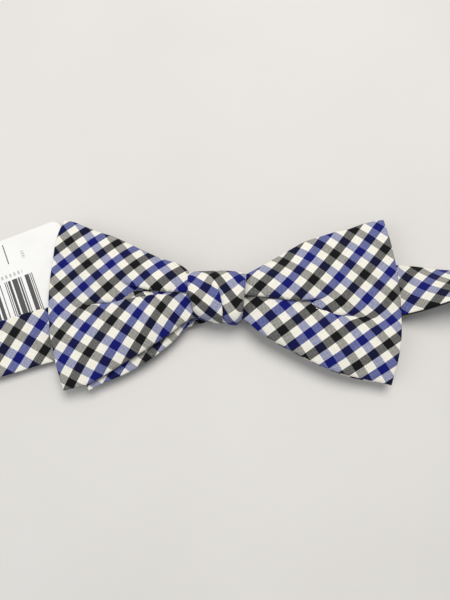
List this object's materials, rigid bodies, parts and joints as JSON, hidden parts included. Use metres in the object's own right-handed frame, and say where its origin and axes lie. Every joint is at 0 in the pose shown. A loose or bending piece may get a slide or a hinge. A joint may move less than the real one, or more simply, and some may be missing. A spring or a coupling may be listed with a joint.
{
  "type": "bow tie",
  "caption": "Pre-tied checked cotton bow tie with a pinched knot, doubled wings and an adjustable neckband that fastens with a hook and an eye.",
  "frame": {"origin": "on the flat back of the knot, under the knot's centre, where the tie rests when it lies face up", "axes": "+X along the bow to the viewer's right as it faces up, +Y to the top of the bow, +Z out of its face"},
  "size_m": [0.4332, 0.0904, 0.0129],
  "materials": {
    "check_fabric": "woven cotton, white ground with alternating blue and black checks cut on the bias, matt",
    "black_lining": "black woven lining, slight sheen",
    "interlining": "unbleached brushed interlining",
    "thread": "twisted polyester thread",
    "plated_metal": "nickel-plated steel, satin",
    "label_satin": "white woven satin, blank",
    "tag_card": "white coated card",
    "tag_plastic": "clear nylon"
  },
  "bodies": {
    "bow": {"front_bow_face": "check_fabric", "front_bow_interlining": "interlining", "front_bow_back": "check_fabric", "rear_bow_face": "check_fabric", "rear_bow_interlining": "interlining", "rear_bow_back": "check_fabric", "knot_wrap": "check_fabric", "knot_interlining": "interlining", "knot_seam_allowance": "check_fabric", "gathering_thread": "thread", "neckband_centre_face": "check_fabric", "neckband_centre_interlining": "interlining", "neckband_centre_lining": "black_lining"},
    "neckband_left": {"neckband_left_face": "check_fabric", "neckband_left_interlining": "interlining", "neckband_left_lining": "black_lining", "adjuster_strap_run": "check_fabric", "price_tag_fastener": "tag_plastic"},
    "strap_slider": {"adjuster_slider": "plated_metal", "adjuster_strap_end": "check_fabric", "adjuster_tack_stitches": "thread"},
    "strap_fold": {"adjuster_strap_fold": "check_fabric", "adjuster_strap_return": "check_fabric"},
    "eye": {"neckband_eye": "plated_metal"},
    "neckband_right": {"neckband_right_face": "check_fabric", "neckband_right_interlining": "interlining", "neckband_right_lining": "black_lining", "hook_strap_loop": "check_fabric", "hook_tack_stitches": "thread", "care_label": "label_satin", "care_label_stitches": "thread"},
    "hook": {"neckband_hook": "plated_metal"},
    "price_tag": {"price_tag_card": "tag_card"}
  },
  "joints": [
    {"name": "neckband_left_fold", "type": "hinge", "parent": "bow", "child": "neckband_left", "pos_m": [-0.01216, -0.00288, 0.0031], "axis": [0.23, -0.9732, 0], "range_deg": [0, 90]},
    {"name": "neckband_right_fold", "type": "hinge", "parent": "bow", "child": "neckband_right", "pos_m": [0.01247, 0.00087, 0.0031], "axis": [-0.0698, 0.9976, 0], "range_deg": [0, 90]},
    {"name": "slider_travel", "type": "slide", "parent": "neckband_left", "child": "strap_slider", "axis": [-0.9732, -0.23, 0], "range_m": [-0.05, 0.055], "deforming": ["adjuster_strap_return", "adjuster_strap_run"]},
    {"name": "eye_travel", "type": "slide", "parent": "neckband_left", "child": "strap_fold", "axis": [-0.9732, -0.23, 0], "range_m": [-0.025, 0.0275]},
    {"name": "eye_pivot", "type": "hinge", "parent": "strap_fold", "child": "eye", "pos_m": [-0.1995, -0.04716, 0.0021], "axis": [0.23, -0.9732, 0], "range_deg": [-60, 60]},
    {"name": "hook_pivot", "type": "hinge", "parent": "neckband_right", "child": "hook", "pos_m": [0.2045, 0.0143, 0.0021], "axis": [-0.0698, 0.9976, 0], "range_deg": [-60, 60]},
    {"name": "tag_swing", "type": "hinge", "parent": "neckband_left", "child": "price_tag", "pos_m": [-0.05985, -0.01415, 0.001], "axis": [0, 0, 1], "range_deg": [-150, 30]}
  ],
  "couplings": [
    {"joint": "eye_travel", "follows": "slider_travel", "ratio": 0.5}
  ]
}
